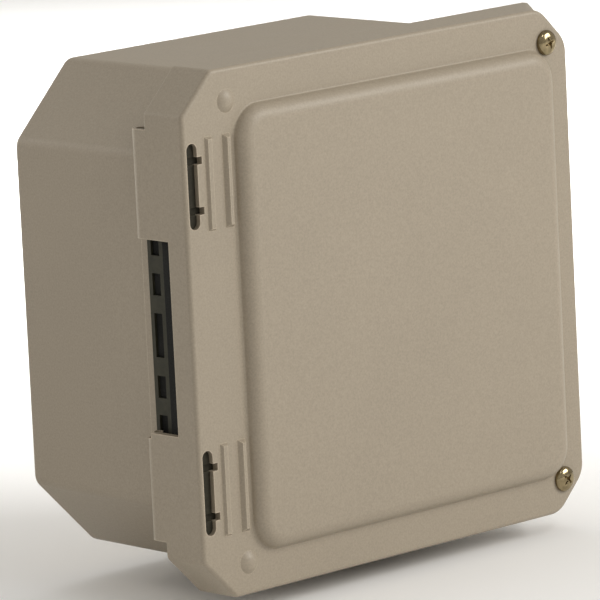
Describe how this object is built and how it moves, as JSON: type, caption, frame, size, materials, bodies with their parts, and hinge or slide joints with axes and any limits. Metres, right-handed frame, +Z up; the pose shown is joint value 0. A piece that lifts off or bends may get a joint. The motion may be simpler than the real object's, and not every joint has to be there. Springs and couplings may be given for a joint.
{
  "type": "whole house surge protector",
  "caption": "Weatherproof moulded box with a hinged, two-screw cover, holding plug-in surge modules on a rail, a ground bar and a conduit hub.",
  "frame": {"origin": "centre of the case's back face, where it meets the wall", "axes": "+X to the right seen from the front, +Y towards the wall, +Z up; the cover faces -Y and its hinge is on the -X side"},
  "size_m": [0.2305, 0.122, 0.233],
  "materials": {
    "case_plastic": "fine moulded grain, light beige-grey",
    "cover_plastic": "fine moulded grain, light beige-grey",
    "gasket_foam": "soft closed-cell foam",
    "dark_strip": "blackened sheet",
    "dark_nylon": "moulded nylon",
    "yellow_screw": "yellow plated, bright",
    "zinc_steel": "bright zinc plate",
    "zinc_sheet": "galvanised sheet",
    "brass": "machined",
    "copper": "tinned copper alloy",
    "device_plastic": "light grey moulded",
    "module_plastic": "pale grey moulded",
    "varistor_coat": "dipped epoxy coat",
    "spring_steel": "bare spring strip",
    "flag_green": "moulded, green with a red upper half",
    "green_wire": "extruded insulation",
    "hub_zinc": "die-cast"
  },
  "bodies": {
    "case": {"enclosure_body": "case_plastic", "screw_inserts": "brass", "hinge_strip": "dark_strip", "strip_seal": "gasket_foam", "strip_backing": "gasket_foam", "hinge_rivets": "zinc_steel", "hinge_pins": "zinc_steel", "back_panel": "zinc_sheet", "panel_screws": "zinc_steel", "din_rail": "zinc_sheet", "rail_screws": "zinc_steel", "spd_base": "device_plastic", "end_stops": "device_plastic", "end_stop_screws": "zinc_steel", "terminal_cages": "zinc_steel", "terminal_screws": "zinc_steel", "contact_clips": "copper", "ground_bar": "brass", "bar_standoffs": "dark_nylon", "bar_screws": "zinc_steel", "ground_link": "green_wire", "conduit_hub": "hub_zinc", "hub_gasket": "gasket_foam", "hub_locknut": "zinc_steel"},
    "lid": {"cover": "cover_plastic", "cover_gasket": "gasket_foam", "hinge_slot_clips": "dark_nylon"},
    "top_screw": {"cover_screw_top": "yellow_screw", "screw_retainer_top": "dark_nylon"},
    "bottom_screw": {"cover_screw_bottom": "yellow_screw", "screw_retainer_bottom": "dark_nylon"},
    "rail_foot": {"rail_latch": "dark_nylon"},
    "module_1": {"module_housing_1": "module_plastic", "module_base_1": "device_plastic", "contact_blades_1": "copper", "varistor_1": "varistor_coat", "disconnect_spring_1": "spring_steel"},
    "flag_1": {"indicator_flag_1": "flag_green"},
    "module_2": {"module_housing_2": "module_plastic", "module_base_2": "device_plastic", "contact_blades_2": "copper", "varistor_2": "varistor_coat", "disconnect_spring_2": "spring_steel"},
    "flag_2": {"indicator_flag_2": "flag_green"},
    "module_3": {"module_housing_3": "module_plastic", "module_base_3": "device_plastic", "contact_blades_3": "copper", "varistor_3": "varistor_coat", "disconnect_spring_3": "spring_steel"},
    "flag_3": {"indicator_flag_3": "flag_green"}
  },
  "joints": [
    {"name": "cover_hinge", "type": "hinge", "parent": "case", "child": "lid", "pos_m": [-0.11045, -0.0877, 0], "axis": [0, 0, -1], "range_deg": [0, 110]},
    {"name": "top_screw_out", "type": "slide", "parent": "lid", "child": "top_screw", "axis": [0, -1, 0], "range_m": [0, 0.009]},
    {"name": "bottom_screw_out", "type": "slide", "parent": "lid", "child": "bottom_screw", "axis": [0, -1, 0], "range_m": [0, 0.009]},
    {"name": "rail_foot_slide", "type": "slide", "parent": "case", "child": "rail_foot", "axis": [0, 0, -1], "range_m": [0, 0.004], "stiffness_N_per_m": 300},
    {"name": "module_1_pull", "type": "slide", "parent": "case", "child": "module_1", "axis": [0, -1, 0], "range_m": [0, 0.024]},
    {"name": "flag_1_drop", "type": "slide", "parent": "module_1", "child": "flag_1", "axis": [0, 0, -1], "range_m": [0, 0.005]},
    {"name": "module_2_pull", "type": "slide", "parent": "case", "child": "module_2", "axis": [0, -1, 0], "range_m": [0, 0.024]},
    {"name": "flag_2_drop", "type": "slide", "parent": "module_2", "child": "flag_2", "axis": [0, 0, -1], "range_m": [0, 0.005]},
    {"name": "module_3_pull", "type": "slide", "parent": "case", "child": "module_3", "axis": [0, -1, 0], "range_m": [0, 0.024]},
    {"name": "flag_3_drop", "type": "slide", "parent": "module_3", "child": "flag_3", "axis": [0, 0, -1], "range_m": [0, 0.005]}
  ]
}
